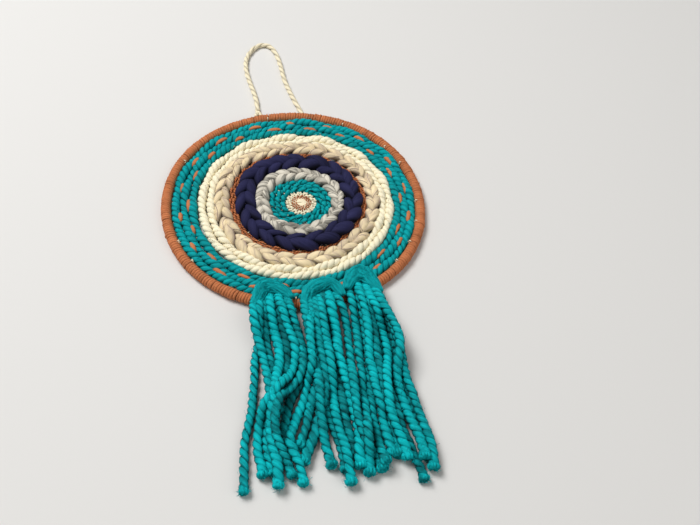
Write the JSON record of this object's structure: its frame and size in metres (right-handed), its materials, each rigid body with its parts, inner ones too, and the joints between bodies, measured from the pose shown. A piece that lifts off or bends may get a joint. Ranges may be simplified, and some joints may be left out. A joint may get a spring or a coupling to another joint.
{
  "type": "fiber wall hanging with its hoop",
  "caption": "Round hand-woven wall hanging in a yarn-wound hoop, with yarn tassels below and a slack cotton hanging cord above, lying face up.",
  "frame": {"origin": "on the resting surface, at the middle of the hoop", "axes": "+Z out of the woven face, +Y towards the hanging cord, +X to the right of the face seen with the cord at the top"},
  "size_m": [0.2576, 0.5573, 0.0182],
  "materials": {
    "rust_yarn": "worsted wool yarn, rust",
    "cream_yarn": "bulky plied wool yarn, cream",
    "cream_slub": "thick-and-thin wool roving, cream with mauve-grey streaks",
    "teal_yarn": "bulky plied wool yarn, teal",
    "navy_roving": "plush wool roving, navy",
    "grey_roving": "variegated wool roving, grey and cream",
    "cotton_cord": "twisted cotton cord, cream"
  },
  "bodies": {
    "root": {"hoop": "rust_yarn", "woven_centre": "cream_yarn", "teal_inner_rows": "teal_yarn", "grey_roving": "grey_roving", "navy_roving": "navy_roving", "rust_rows": "rust_yarn", "cream_slub": "cream_slub", "cream_rows": "cream_yarn", "teal_rows": "teal_yarn", "tassel_left": "teal_yarn", "tassel_middle": "teal_yarn", "tassel_right": "teal_yarn", "hanging_cord": "cotton_cord", "cord_tie": "cotton_cord"}
  },
  "joints": []
}
